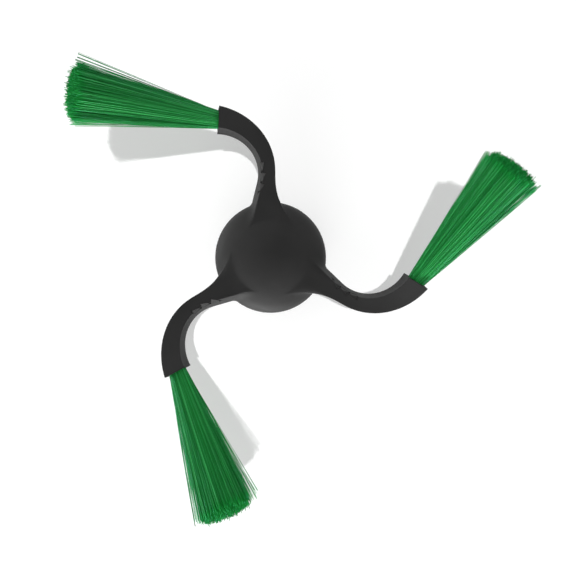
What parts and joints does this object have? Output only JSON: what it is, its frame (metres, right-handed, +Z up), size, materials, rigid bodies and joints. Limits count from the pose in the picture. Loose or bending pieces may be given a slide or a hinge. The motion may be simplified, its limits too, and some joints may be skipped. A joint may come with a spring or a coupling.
{
  "type": "side brush",
  "caption": "Side brush for a floor-cleaning robot: a domed hub with a keyed drive socket under it and swept arms, each ending in a fanned bristle tuft.",
  "frame": {"origin": "centre of the drive socket's mouth, level with the hub's rim", "axes": "+Z up the drive axis from the rim to the dome, +X along the straight root of the first arm"},
  "size_m": [0.1437, 0.1453, 0.0431],
  "materials": {
    "moulding": "fine matte moulded texture",
    "bristle": "drawn nylon filament"
  },
  "bodies": {
    "root": {"brush_body": "moulding", "bristle_tuft_1": "bristle", "bristle_tuft_2": "bristle", "bristle_tuft_3": "bristle"}
  },
  "joints": []
}
